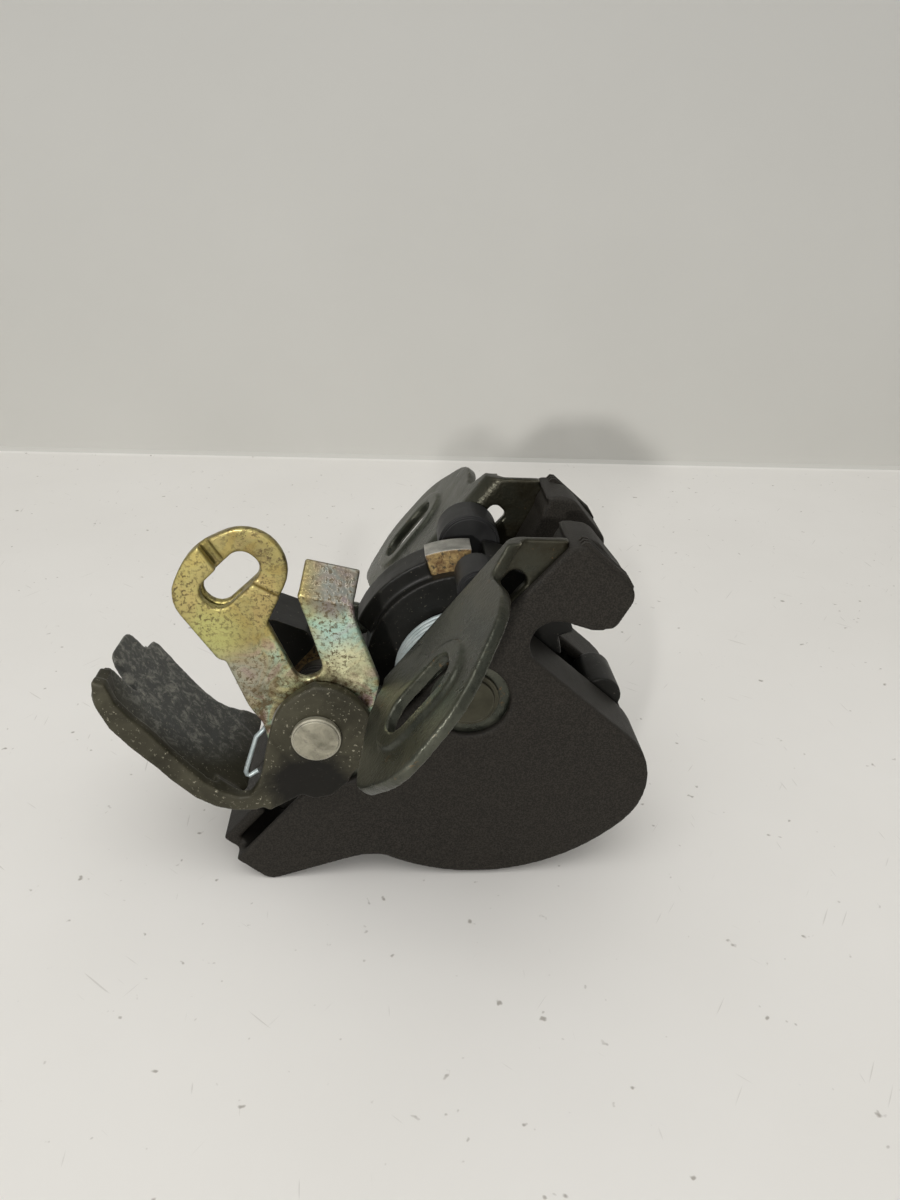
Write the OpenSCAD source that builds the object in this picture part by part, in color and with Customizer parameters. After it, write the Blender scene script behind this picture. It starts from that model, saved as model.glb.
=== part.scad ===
// Rotary latch for a vehicle rear door, shown open.
// Each piece is drawn in plan, x along the mouth and y across it, and stands up
// towards the viewer in z. The finished latch is then turned as it lies on a table.
// The origin is the middle of the striker pin when the latch is shut.

/* [Case] */
// Radius of the round lower edge of the case
case_r = 42.8; // [41.8:0.1:44.5]
// Half the width of the case across the latch
case_half = 20.5; // [19.5:0.5:24]
// Thickness of the plastic skin on each face
skin_t = 1.65; // [1.2:0.05:2]
// Thickness of the plastic wall round the edge
rim_t = 2.5; // [2:0.1:3]
// Length of the foot below the claw pivot
foot_depth = 61; // [59:0.1:64]
// Width of the foot
foot_w = 13; // [12:0.5:14.5]

/* [Mouth] */
// Height of the mouth at its closed end
mouth_h = 10; // [9:0.5:11]
// Height of the lower lip above the claw pivot
lip_y = 15; // [14.8:0.1:16]
// Distance of the striker seat ahead of the claw pivot
seat_x = 4; // [3:0.5:6]
// Flare of the upper jaw in degrees
jaw_flare = 30; // [25:1:35]
// Height of the upper jaw above the claw pivot
jaw_top = 38.2; // [37:0.1:41]
// Width of the slot in which the claw swings
claw_slot = 13; // [12.8:0.1:15]

/* [Side plates] */
// Thickness of the steel side plates and their ears
plate_t = 2.3; // [2:0.1:2.6]
// Distance of the ear face behind the claw pivot
ear_back = 16.3; // [16:0.1:17.5]
// Lean of the ears away from the mouth in degrees
ear_lean = 3.2; // [1:0.1:5]
// Distance of the outer edge of each ear from the middle of the latch
ear_reach = 54.3; // [53:0.1:56]
// Distance between the middles of the two ear slots
bolt_span = 77; // [74:0.5:80]
// Width of the ear slots
slot_w = 9; // [7:0.5:10]
// Length of the ear slots
slot_len = 17; // [13:0.5:18]
// Height of the pressed rim round each ear slot
slot_rim_h = 0.8; // [0.6:0.1:1.6]

/* [Claw] */
// Radius of the plastic side faces of the claw
claw_face_r = 20.7; // [20:0.1:21.5]
// Radius of the outer band of the claw
claw_band_r = 24.3; // [23.5:0.1:25]
// Radius of the bare steel tooth
tooth_r = 25.3; // [25:0.1:26]
// Thickness of the steel inside the claw
claw_t = 6; // [5:0.5:7]
// Width of the claw over its plastic faces
claw_w = 12; // [10:0.5:12.4]
// Turn of the claw from open to shut in degrees
claw_swing = 45; // [42:1:48]
// Radius of the claw pivot
claw_pin_r = 5; // [4:0.5:6]

/* [Pawl and levers] */
// Place of the pawl pivot ahead of the claw pivot
pawl_x = -19; // [-20:0.5:-18.5]
// Place of the pawl pivot above the claw pivot
pawl_y = -23.8; // [-25:0.1:-23.4]
// Radius of the pawl pivot
pawl_pin_r = 4; // [3:0.1:4.4]
// Radius of the flat head of the pawl pivot
pawl_head_r = 4.8; // [4.7:0.1:5.6]
// Thickness of the release lever
lever_t = 2.5; // [2:0.1:3]
// Radius of the release lever round its pivot
lever_boss_r = 11.2; // [10:0.1:11.6]
// Thickness of the plated eye lever
eye_t = 1.8; // [1.2:0.1:2.2]
// Thickness of the washer between the levers
washer_t = 0.5; // [0.4:0.1:1]

/* [Springs and fits] */
// Wire diameter of the claw spring
claw_wire = 1.4; // [1:0.1:1.4]
// Outer radius of the claw spring
claw_coil_r = 13.8; // [12.6:0.1:13.9]
// Wire diameter of the two small springs
small_wire = 1; // [0.8:0.1:1.2]
// Running clearance between a pin and its bore
run_gap = 0.05; // [0.03:0.01:0.08]
// Clearance between pieces that are set into each other
fit_gap = 0.1; // [0.05:0.01:0.15]

/* [Hidden] */
$fn = 64;

// Levels across the latch, counted from the middle towards the viewer
skin_in = case_half - skin_t;
plate_out = skin_in - 0.05;
plate_in = plate_out - plate_t;
cheek_out = plate_in - 0.05;
cheek_in = claw_slot / 2;
claw_half = claw_w / 2;
core_half = claw_t / 2;
eye_back = plate_out + 0.2;
eye_front = eye_back + eye_t;
lever_back = eye_front + washer_t;
lever_front = lever_back + lever_t;
pivot_head_t = 1.6;

// Main places in plan
case_c = [3, 1.5];
pawl_c = [pawl_x, pawl_y];
seat_y = lip_y + mouth_h / 2;
seat = [seat_x, seat_y];
foot_x0 = -foot_w - 2;
foot_corner_r = 3.5;
foot_toe = [foot_x0 + foot_w, -foot_depth];
lip_fillet = 15;

// The latch rests on its foot and on the round edge of the case, which sets its tilt
foot_c = foot_toe + [-0.9 * foot_corner_r, foot_corner_r];
rest_span = foot_c - case_c;
rest_tilt = atan2(rest_span.y, rest_span.x) + 180
    - asin((case_r - foot_corner_r) / norm(rest_span));

function unit(v) = v / norm(v);
function polar(r, a) = r * [cos(a), sin(a)];
function flat(p) = [p.x, p.y];

// Points of one rounded corner at b, between neighbours a and c
function corner(a, b, c, r) = let(
    p = unit(a - b),
    q = unit(c - b),
    half = acos(p * q) / 2,
    centre = b + unit(p + q) * r / sin(half),
    from = b + p * r / tan(half) - centre,
    to = b + q * r / tan(half) - centre,
    start = atan2(from.y, from.x),
    sweep = atan2(cross(from, to), from * to),
    n = max(2, ceil(abs(sweep) / 12))
) [for (i = [0:n]) centre + polar(r, start + sweep * i / n)];

// An outline of corners [x, y, radius] as points
function rounded(p) = let(k = len(p)) [for (i = [0:k - 1])
    each (p[i][2] > 0
        ? corner(flat(p[(i + k - 1) % k]), flat(p[i]), flat(p[(i + 1) % k]), p[i][2])
        : [flat(p[i])])];

// The same outline drawn in by d all round
function drawn_in(p, d) = let(k = len(p)) [for (i = [0:k - 1]) let(
    e = unit(flat(p[i]) - flat(p[(i + k - 1) % k])),
    f = unit(flat(p[(i + 1) % k]) - flat(p[i])),
    m = [-e.y, e.x],
    n = [-f.y, f.x],
    q = flat(p[i]) + d * (m + n) / (1 + m * n)
) [q.x, q.y, p[i][2] > 0 ? max(0.3, p[i][2] - sign(cross(e, f)) * d) : 0]];

// Round wire along a path of points, closed at both ends
module wire(path, d, sides = 8) {
    n = len(path);
    function along(i) = unit(path[min(i + 1, n - 1)] - path[max(i - 1, 0)]);
    function side(i) = let(t = along(i), s = cross(t, [0.13, 0.21, 1])) unit(s);
    rings = [for (i = [0:n - 1], j = [0:sides - 1]) let(
        t = along(i), s = side(i), u = cross(t, s), a = 360 * j / sides)
        path[i] + d / 2 * (cos(a) * s + sin(a) * u)];
    walls = [for (i = [0:n - 2], j = [0:sides - 1]) let(k = (j + 1) % sides)
        [i * sides + j, (i + 1) * sides + j, (i + 1) * sides + k, i * sides + k]];
    ends = [[for (j = [0:sides - 1]) j],
        [for (j = [sides - 1:-1:0]) (n - 1) * sides + j]];
    polyhedron(rings, concat(ends, walls), convexity = 8);
}

// A helix of wire about the z axis
function helix(r, z0, turns, pitch, a0, dir = 1, per = 20) =
    [for (i = [0:round(turns * per)]) let(a = a0 + dir * 360 * i / per)
        [r * cos(a), r * sin(a), z0 + pitch * i / per]];

// Plan pieces stand between two levels
module slab(z0, z1) {
    translate([0, 0, z0]) linear_extrude(z1 - z0) children();
}

module at(p) {
    translate([p.x, p.y, 0]) children();
}

module disc(p, r, z0, z1) {
    translate([p.x, p.y, z0]) cylinder(r = r, h = z1 - z0);
}

// From plan to the latch as it lies
module lie() {
    rotate([0, rest_tilt, 0]) rotate([90, 0, 0]) translate([-seat_x, -seat_y, 0]) children();
}

module far_side() {
    mirror([0, 0, 1]) children();
}

// Outline of the round lower body, drawn in by d, up to the lower lip
fillet_c = [case_c.x + sqrt(pow(case_r - lip_fillet, 2) - pow(lip_y - lip_fillet - case_c.y, 2)),
    lip_y - lip_fillet];
fillet_a = atan2(fillet_c.y - case_c.y, fillet_c.x - case_c.x);

function arc(c, r, a0, a1, n) = [for (i = [0:n]) c + polar(r, a0 + (a1 - a0) * i / n)];

module lower_2d(d = 0) {
    polygon(concat(
        [[jaw_x0 - 20, lip_y - d], [jaw_x0 - 20, case_c.y - case_r + 12]],
        arc(case_c, case_r - d, 228, 360 + fillet_a, 32),
        arc(fillet_c, lip_fillet - d, fillet_a + 10, 90, 8)
    ));
}

// Outline of the foot
side_x = -10.9;
foot_outline = [
    [side_x, -20, 0],
    [side_x, -foot_depth, 0],
    [foot_toe.x, foot_toe.y, foot_corner_r],
    [9.5, case_c.y - case_r - 0.6, 14],
    [24, -34, 0],
    [20, -20, 0]
];

// Outline of the upper jaw with the back of the mouth
jaw_x0 = -8.4;
jaw_reach = 10.4;
jaw_slope = tan(jaw_flare);
flare_start = seat + polar(mouth_h / 2, 90 + jaw_flare);
function flare_y(x) = flare_start.y + (x - flare_start.x) * jaw_slope;
jaw_outline = [
    [jaw_x0, 5, 0],
    [2, 5, 0],
    [2, flare_y(2), 0],
    [jaw_reach, flare_y(jaw_reach), 2.2],
    [jaw_reach - 2, jaw_top, 3.5],
    [jaw_x0 + 2, jaw_top, 1],
    [jaw_x0, jaw_top - 1.8, 1]
];

// The mouth, open towards the striker and round at its closed end
module mouth_2d(d = 0) {
    polygon(concat(
        [[seat_x + 60, lip_y - d]],
        arc(seat, mouth_h / 2 + d, 270, 100, 17),
        [[seat_x + 60, seat_y + mouth_h / 2 + d - 0.1]]
    ));
}

module case_2d(d = 0) {
    difference() {
        intersection() {
            union() {
                lower_2d(d);
                polygon(rounded(drawn_in(foot_outline, d)));
                polygon(rounded(drawn_in(jaw_outline, d)));
            }
            union() {
                translate([jaw_x0 + d, -37]) square([90, 110]);
                translate([side_x + d, -90]) square([90, 54]);
            }
        }
        mouth_2d(d);
    }
}

// Round recess in the skin in which the levers turn
recess_r = 14.5;

// Side wall at the end of the foot, with the open well beside it
end_wall_top = -49.7;

module foot_wall_2d() {
    translate([foot_x0, -foot_depth]) square([rim_t, foot_depth + end_wall_top]);
    translate([foot_x0, -foot_depth]) square([foot_w - foot_corner_r, rim_t]);
}

// The rim wall leaves the side towards the ears open
module rim_2d() {
    difference() {
        case_2d();
        case_2d(rim_t);
        translate([-40, rim_t - foot_depth]) square([40 + jaw_x0 + rim_t,
            foot_depth + jaw_top - 2 * rim_t]);
        translate([-40, 4]) square([40 + seat_x - 8, jaw_top - rim_t - 4]);
    }
}

// The cheeks carry the mouth and end in a round boss above it
cheek_boss = [-3, 35];
cheek_boss_r = 4.5;

module cheek_2d() {
    difference() {
        union() {
            intersection() {
                mouth_2d(rim_t);
                case_2d();
            }
            polygon(rounded([
                [seat_x - 7, seat_y, 0],
                [cheek_boss.x - 3.4, cheek_boss.y - 2.9, 0],
                cheek_boss_top,
                [jaw_reach - 2, jaw_top - 0.4, 3],
                [jaw_reach, flare_y(jaw_reach), 2.2],
                [seat_x, seat_y, 0]
            ]));
            at(cheek_boss) circle(r = cheek_boss_r);
        }
        mouth_2d();
        translate([seat_x, lip_y]) square([60, seat_y - lip_y]);
    }
}
cheek_boss_top = [cheek_boss.x, cheek_boss.y + cheek_boss_r, 0];

// Bore for the coil of the claw spring, which sits off the pivot
coil_c = [-0.8, -0.6];

module housing_half() {
    difference() {
        union() {
            slab(skin_in, case_half) case_2d();
            slab(0, skin_in) rim_2d();
            slab(cheek_in, cheek_out) cheek_2d();
            slab(0, skin_in - 2) foot_wall_2d();
        }
        disc(pawl_c, recess_r, 8, case_half + 1);
        disc([0, 0], 8, skin_in - 1, case_half + 1);
        disc(coil_c, claw_coil_r + 0.6, cheek_in - 1, cheek_out + 0.01);
        // Slot in the lip and the jaw for the claw
        translate([-12, 8, -1]) cube([52, 60, 1 + cheek_in]);
        // The plate passes out of the open side of the case
        slab(plate_in - 0.05, skin_in) strap_gap_2d();
        // Grooves along the sloping end of the jaw
        for (z = [9, 13]) translate([jaw_reach - 1.1, 27, z - 0.5]) rotate([0, 0, 14])
            cube([4, 9, 1]);
    }
}

module strap_gap_2d() {
    translate([-40, strap_y0 - 12]) square([40 + jaw_x0 + rim_t, jaw_top - strap_y0 + 12 - rim_t]);
}

module near_housing() {
    color([0.16, 0.155, 0.15]) lie() housing_half();
}

module far_housing() {
    color([0.15, 0.145, 0.14]) lie() far_side() housing_half();
}

// Steel side plates. Each is bent outwards into an ear, along a line that leans back
bend_x = plate_t - ear_back;
strap_y0 = -8;
strap_y1 = 33;
strap_corner = [-18.4, 28.7];
strap_slope = 39.4;
window_x0 = -12.8;
window_x1 = -8.9;
window_y0 = 9;
window_y1 = 26.2;
bend_r = 1;
bend_run = 1;
flat_x0 = bend_x + bend_r + bend_run / 2;

// A point of the upright ear moved to its leaning place
function leaned(x, y) = [-ear_back, 0] + [(x + ear_back) * cos(ear_lean) - y * sin(ear_lean),
    (x + ear_back) * sin(ear_lean) + y * cos(ear_lean)];

module lean() {
    translate([-ear_back, 0, 0]) rotate(ear_lean) translate([ear_back, 0, 0]) children();
}

// Everything above the slanting top edge of the strap
module above_strap_2d() {
    translate(strap_corner) rotate(strap_slope) translate([-40, 0]) square([80, 40]);
}

module plate_2d() {
    difference() {
        union() {
            intersection() {
                union() {
                    case_2d(rim_t + fit_gap);
                    translate([-30, -45]) square([34, 45]);
                }
                polygon(rounded([[each leaned(flat_x0 + 0.5, 60), 0],
                    [each leaned(flat_x0 + 0.5, -9), 0], [pawl_x - 8.5, -17, 4],
                    [pawl_x - 8.5, -31, 6], [-14, -37, 8], [12, -30, 10], [60, -12, 0],
                    [60, 60, 0]]));
            }
            polygon([
                leaned(flat_x0, strap_y0),
                [-3.6, strap_y0],
                [-3.6, jaw_top - rim_t - fit_gap],
                [jaw_x0 - 0.2, jaw_top - rim_t - fit_gap],
                [jaw_x0 - 0.2, jaw_top],
                leaned(flat_x0, jaw_top + 1)
            ]);
        }
        above_strap_2d();
        mouth_2d(rim_t + fit_gap);
        polygon(rounded([[window_x0, window_y0, 1.5], [window_x1, window_y0, 1.5],
            [window_x1, window_y1, 1.5], [window_x0, window_y1, 1.5]]));
        translate([foot_x0 + 20, -70]) square([80, 36]);
    }
}

ear_mid = bolt_span / 2;
slot_y = 2.8;

// Ear outline, across the latch in x and up in y
module ear_2d() {
    base = plate_out + bend_r + bend_run / 2;
    polygon(rounded([
        [base, strap_y0 + 0.4, 0],
        [base + 5.5, strap_y0 - 4.5, 8],
        [ear_reach - 8.4, strap_y0 - 8.2, 7],
        [ear_reach, strap_y0 + 3.5, 12],
        [ear_reach - 2.1, strap_corner.y - 16.7, 16],
        [ear_reach - 16.8, strap_corner.y - 2.5, 13],
        [base + 4.7, strap_corner.y - 5, 2.5],
        [base, strap_corner.y + 1.8, 0]
    ]));
}

module slot_2d(grow = 0) {
    reach = (slot_len - slot_w) / 2;
    for (s = [-1, 1]) translate([ear_mid, slot_y + s * reach]) circle(r = slot_w / 2 + grow);
    translate([ear_mid - slot_w / 2 - grow, slot_y - reach])
        square([slot_w + 2 * grow, 2 * reach]);
}

// Ear shapes stand between two places along the mouth
module ear_slab(x0, x1) {
    translate([x1, 0, 0]) rotate([0, -90, 0]) linear_extrude(x1 - x0) children();
}

// Profile of the bend, which runs a little way on into the flat plate and the ear
module bend_2d() {
    intersection() {
        difference() {
            circle(r = plate_t + bend_r);
            circle(r = bend_r);
        }
        translate([-10, 0]) square([10, 10]);
    }
    translate([0, bend_r]) square([bend_run, plate_t]);
    translate([-bend_r - plate_t, -bend_run]) square([plate_t, bend_run]);
}

module side_plate() {
    difference() {
        union() {
            slab(plate_in, plate_out) plate_2d();
            lean() translate([bend_x + bend_r, 0, plate_out + bend_r]) rotate([-90, 0, 0])
                translate([0, 0, strap_y0]) linear_extrude(strap_y1 - strap_y0) bend_2d();
            lean() ear_slab(-ear_back, bend_x) ear_2d();
            lean() ear_slab(-ear_back - slot_rim_h, -ear_back + 0.5) slot_2d(3.2);
        }
        lean() ear_slab(-ear_back - 5, bend_x + 5) slot_2d();
        lean() ear_slab(bend_x - slot_rim_h, bend_x + 5) slot_2d(2);
        slab(plate_in - 1, plate_out + 3) above_strap_2d();
        disc([0, 0], pivot_end_r + fit_gap, 0, 30);
        disc(pawl_c, pawl_pin_r + run_gap, 0, 30);
        disc(lower_post_c, post_end_r + fit_gap, 0, 30);
        disc(heel_post_c, post_end_r + fit_gap, 0, 30);
    }
}

module near_plate() {
    color([0.27, 0.28, 0.24]) lie() side_plate();
}

module far_plate() {
    color([0.25, 0.26, 0.23]) lie() far_side() side_plate();
}

// Claw pivot, stepped and riveted over outside both plates
pivot_end_r = 4;
pivot_head_r = 5.9;

module claw_pivot() {
    color([0.42, 0.41, 0.36]) lie() {
        disc([0, 0], claw_pin_r, -plate_in, plate_in);
        disc([0, 0], pivot_end_r, -plate_out - 1, plate_out + 1);
        for (s = [0, 1]) mirror([0, 0, s]) {
            disc([0, 0], pivot_head_r, plate_out, plate_out + 0.9);
            disc([0, 0], pivot_head_r - 1, plate_out + 0.8, plate_out + 1.7);
        }
    }
}

// Collars that keep the claw in the middle and carry the spring
module collar() {
    difference() {
        disc([0, 0], 9.5, claw_half + run_gap, plate_in);
        disc([0, 0], claw_pin_r + fit_gap, 0, 30);
    }
}

module near_collar() {
    color([0.09, 0.09, 0.09]) lie() collar();
}

module far_collar() {
    color([0.09, 0.09, 0.09]) lie() far_side() collar();
}

// Claw, drawn open. It takes the striker at notch_c and carries it to the seat
seat_turn = atan2(seat.y, seat.x) - claw_swing;
notch_c = polar(norm(seat), seat_turn);
lobe_c = [28, 13.5];
lobe_r = 4.5;
tooth_from = 129;
tooth_to = 151;
inner_jaw_to = 62;
catch_angle = 213.2;
catch_end = 228;
band_half = 3.9;

// A sector between two angles and two radii
module sector(a0, a1, r0, r1) {
    n = ceil((a1 - a0) / 5);
    polygon(concat(
        [for (i = [0:n]) polar(r1, a0 + (a1 - a0) * i / n)],
        [for (i = [n:-1:0]) polar(r0, a0 + (a1 - a0) * i / n)]
    ));
}

module notch_2d(grow = 0) {
    at(notch_c) circle(r = mouth_h / 2 + grow);
    difference() {
        polygon([
            notch_c,
            notch_c + polar(mouth_h / 2 + grow, 125),
            polar(claw_band_r + 0.2, inner_jaw_to) + [grow, 0],
            [14, 34],
            [44, 34],
            lobe_c + polar(2, -30),
            notch_c + polar(mouth_h / 2 + grow, -52)
        ]);
        at(lobe_c) circle(r = lobe_r - grow);
    }
}

// Face of the claw with its lower jaw
module claw_face_2d(d = 0) {
    n = polar(1, -32.7);
    circle(r = claw_face_r - d);
    at(lobe_c) circle(r = lobe_r - d);
    polygon([[0, 0], (claw_face_r - d) * n, lobe_c + (lobe_r - d) * n, lobe_c,
        lobe_c + polar(lobe_r - d, 130), notch_c]);
    sector(inner_jaw_to - 2, 122, 10, claw_band_r - 0.2 - d);
}

module claw_core_2d() {
    difference() {
        union() {
            claw_face_2d(1.6);
            sector(tooth_from, tooth_to, 10, tooth_r);
            sector(tooth_to - 1, tooth_to + 39, 15, claw_band_r - 1.4);
            sector(catch_angle + 4.5, catch_end - 1, 15, claw_band_r - 1.4);
        }
        notch_2d(1.2);
    }
}

// The pawl drops into this seat when the latch is shut
module seat_cut_2d() {
    polygon([
        polar(claw_face_r - 0.05, catch_angle),
        polar(claw_band_r + 6, catch_angle + 6.8),
        polar(claw_band_r + 6, catch_angle - 17),
        polar(claw_band_r, catch_angle - 14.7),
        polar(claw_face_r - 0.05, catch_angle - 10.2)
    ]);
}

module claw_core() {
    color([0.5, 0.47, 0.42]) lie() difference() {
        slab(-core_half, core_half) claw_core_2d();
        disc([0, 0], claw_pin_r + run_gap, -20, 20);
    }
}

module claw_cover() {
    color([0.1, 0.1, 0.1]) lie() difference() {
        union() {
            slab(-claw_half, claw_half) difference() {
                claw_face_2d();
                notch_2d();
            }
            slab(-band_half, band_half) sector(tooth_to, catch_end, 18, claw_band_r);
            disc(polar(17.3, 300), 1.6, claw_half - 1, claw_half + 4);
        }
        slab(-core_half, core_half) claw_core_2d();
        slab(-band_half - 0.1, band_half + 0.1) seat_cut_2d();
        disc([0, 0], claw_pin_r + run_gap, -20, 20);
    }
}

// Claw spring: a close coil with one leg on the claw and one on the post
spring_r = claw_coil_r - claw_wire / 2;

module claw_spring() {
    coil = helix(spring_r, claw_half + 1.3, 4.75, claw_wire + 0.05, 320, 1, 24);
    last = coil[len(coil) - 1];
    peg_leg = [12.2, -15, claw_half + 1.3];
    post_leg = last + 20 * [cos(34.2), -sin(34.2), 0];
    color([0.6, 0.66, 0.68]) lie() translate([coil_c.x, coil_c.y, 0])
        wire([peg_leg, each coil, post_leg], claw_wire, 8);
}

// Rubber buffers for the tooth, each with a key in the window of its plate
buffer_c = [-13.5, 17.5];

module buffer(r) {
    disc(buffer_c, r - 0.6, cheek_in + 0.1, plate_in);
    disc(buffer_c, r, cheek_in + 0.7, plate_in - 0.6);
    slab(plate_in - 1, plate_out) translate([window_x0 + fit_gap, buffer_c.y - 2.9])
        square([buffer_c.x + 3 - window_x0 - fit_gap, 5.8]);
}

module near_buffer() {
    color([0.06, 0.065, 0.08]) lie() buffer(4.2);
}

module far_buffer() {
    color([0.06, 0.065, 0.08]) lie() far_side() buffer(6.6);
}

// Pawl pivot, a long rivet with its flat head on the viewer's side
module pawl_pivot() {
    color([0.6, 0.58, 0.55]) lie() {
        disc(pawl_c, pawl_pin_r, -plate_out - 1, lever_front + 0.5);
        disc(pawl_c, pawl_head_r, lever_front, lever_front + pivot_head_t - 0.4);
        disc(pawl_c, pawl_head_r - 0.4, lever_front, lever_front + pivot_head_t);
        disc(pawl_c, pawl_head_r + 0.8, -plate_out - 1.6, -plate_out);
    }
}

// Spacer tubes that keep the pawl in the middle
module spacer() {
    difference() {
        disc(pawl_c, pawl_pin_r + 1.5, core_half + run_gap, plate_in);
        disc(pawl_c, pawl_pin_r + fit_gap, 0, 30);
    }
}

module pawl_near_spacer() {
    color([0.5, 0.5, 0.48]) lie() spacer();
}

module pawl_far_spacer() {
    color([0.5, 0.5, 0.48]) lie() far_side() spacer();
}

// Pawl, drawn lifted clear of the claw, with a tail behind its pivot
pawl_boss_r = 5.7;
pawl_lift = 23;
pawl_in = catch_angle + claw_swing - 1;

// A point turned about the pawl pivot, from dropped in to lifted
function lifted(p) = pawl_c + [
    (p - pawl_c).x * cos(pawl_lift) + (p - pawl_c).y * sin(pawl_lift),
    (p - pawl_c).y * cos(pawl_lift) - (p - pawl_c).x * sin(pawl_lift)
];

module pawl_2d() {
    tip = lifted(polar(claw_face_r + 0.3, pawl_in));
    nose = lifted(polar(claw_face_r + 0.3, pawl_in - 8.2));
    step = lifted(polar(claw_band_r + 0.45, pawl_in - 11.2));
    heel = lifted(polar(claw_band_r + 2.5, pawl_in));
    shoulder = lifted(pawl_c + polar(pawl_boss_r, 80));
    under = lifted(pawl_c + polar(pawl_boss_r, -70));
    at(pawl_c) circle(r = pawl_boss_r);
    polygon([tip, nose, step, shoulder, pawl_c, under, heel]);
    polygon(rounded([
        [pawl_c.x - 0.5, pawl_c.y - 5.6, 0],
        [pawl_c.x, pawl_c.y - 5.6, 0],
        [pawl_c.x, pawl_c.y + 5.6, 0],
        [-31, -15.8, 3],
        [-37.5, -18.5, 2],
        [-36, -24, 2]
    ]));
}

module pawl() {
    color([0.4, 0.38, 0.34]) lie() difference() {
        slab(-core_half, core_half) pawl_2d();
        disc(pawl_c, pawl_pin_r + run_gap, -20, 20);
    }
}

// Plastic sleeve moulded over the tail of the pawl
module pawl_cover() {
    color([0.08, 0.08, 0.08]) lie() difference() {
        slab(-6, 7) polygon(rounded([
            [-27, -29.5, 2],
            [-27, -15.5, 1],
            [-30.6, -14.8, 2.5],
            [-38.5, -17.5, 2.5],
            [-37.5, -25, 2.5]
        ]));
        slab(-core_half, core_half) pawl_2d();
    }
}

// Pawl spring round the far spacer
module pawl_spring() {
    color([0.6, 0.65, 0.66]) lie() translate([pawl_c.x, pawl_c.y, 0]) far_side() {
        coil = helix(6.4, claw_half + 1.2, 4, small_wire + 0.15, 200, 1, 18);
        wire([coil[0] + [-7, -4, 0], each coil, coil[len(coil) - 1] + [2, -7, 0]],
            small_wire, 6);
    }
}

// Plated eye lever on the pawl pivot, with an open eye and a bent tab
eye_c = [-51, -9.6];

module eye_ring_2d() {
    difference() {
        polygon(rounded([
            [-57.4, -19.8, 7],
            [-41.2, -24.4, 2],
            [-40.4, -12.5, 2],
            [-43.6, -0.6, 8],
            [-54.4, 3.6, 7.5],
            [-60.2, -9.5, 12]
        ]));
        polygon(rounded([
            [eye_c.x - 3.6, eye_c.y - 6.2, 2.9],
            [eye_c.x + 2.6, eye_c.y - 6.2, 2.9],
            [eye_c.x + 3.9, eye_c.y + 6.2, 2.9],
            [eye_c.x - 2.6, eye_c.y + 6.2, 2.9]
        ]));
    }
}

module eye_plate_2d() {
    polygon(rounded([
        [pawl_c.x - 6, pawl_c.y - 8, 0],
        [-27.9, -29.8, 0],
        [-32.3, -28.5, 12],
        [-43.8, -22, 0],
        [-42.6, -16, 0],
        [-41.4, -11.4, 0],
        [-28.2, -17.8, 2.3],
        [-25.9, -13.1, 2.3],
        [-35.1, -7, 0],
        [-40, -3.9, 0],
        [-30.6, 1.1, 0],
        [-28.8, -0.7, 2],
        [-16.5, -7.9, 1],
        [-11.6, -17, 0],
        [pawl_c.x + 8, pawl_c.y, 0]
    ]));
}

// The eye is a strip bent round to an open end, set back beyond the joggle
tab_angle = 30;
tab_len = 7.2;

module eye_lever() {
    color([0.68, 0.6, 0.36]) lie() difference() {
        union() {
            slab(eye_back, eye_front) eye_plate_2d();
            disc(pawl_c, 10.2, eye_back, eye_front);
            slab(eye_back, eye_front) intersection() {
                eye_ring_2d();
                polygon([[-62, -6.9], [-50, -10.5], [-48, -7.4], [-36, -5], [-36, -40],
                    [-70, -40], [-70, -6.9]]);
            }
            slab(eye_back - 1.2, eye_front - 1.2) intersection() {
                eye_ring_2d();
                polygon([[-62, -6.3], [-50, -9.9], [-44, -10.6], [-36, -10], [-36, 12],
                    [-62, 12]]);
            }
            translate([-40, -3.9, eye_back]) rotate(28) rotate([-tab_angle, 0, 0])
                translate([0.2, -0.9, 0]) cube([10.3, tab_len, eye_t]);
        }
        disc(pawl_c, pawl_pin_r + run_gap, 0, 40);
    }
}

// Spring of the release lever, coiled on the near spacer and hooked over the lever
module release_spring() {
    coil = helix(6.4, claw_half + 1.2, 4.5, small_wire + 0.15, 20, -1, 18);
    color([0.6, 0.64, 0.64]) lie() translate([pawl_c.x, pawl_c.y, 0]) wire([
        coil[0] + [2, -7, 0],
        each coil,
        [-10.4, -5.5, claw_half + 7.2],
        [-10.4, -9.2, claw_half + 8.4],
        [-10.15, -9.6, 18],
        [-10.05, -9.8, lever_front - 0.4],
        [-9.6, -10, lever_front + 0.62],
        [-6.5, -10.6, lever_front + 0.62]
    ], small_wire, 6);
}

module lever_washer() {
    color([0.35, 0.35, 0.32]) lie() difference() {
        disc(pawl_c, 9, eye_front, lever_back);
        disc(pawl_c, pawl_pin_r + fit_gap, 0, 40);
    }
}

// Release lever: a round plate on the pivot, bent at the foot into a forked pull
flange_y = -49.4;
lever_bend_r = 3;

module release_plate_2d() {
    at(pawl_c) circle(r = lever_boss_r);
    polygon(rounded([
        [pawl_c.x - 10.6, pawl_c.y + 1, 0],
        [-27.6, -36, 8],
        [-26.5, flange_y + lever_t + lever_bend_r, 0],
        [-14.8, flange_y + lever_t + lever_bend_r, 0],
        [-12.8, -38, 5],
        [pawl_c.x + 9.8, pawl_c.y - 4, 2],
        [pawl_c.x, pawl_c.y, 0]
    ]));
}

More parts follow.
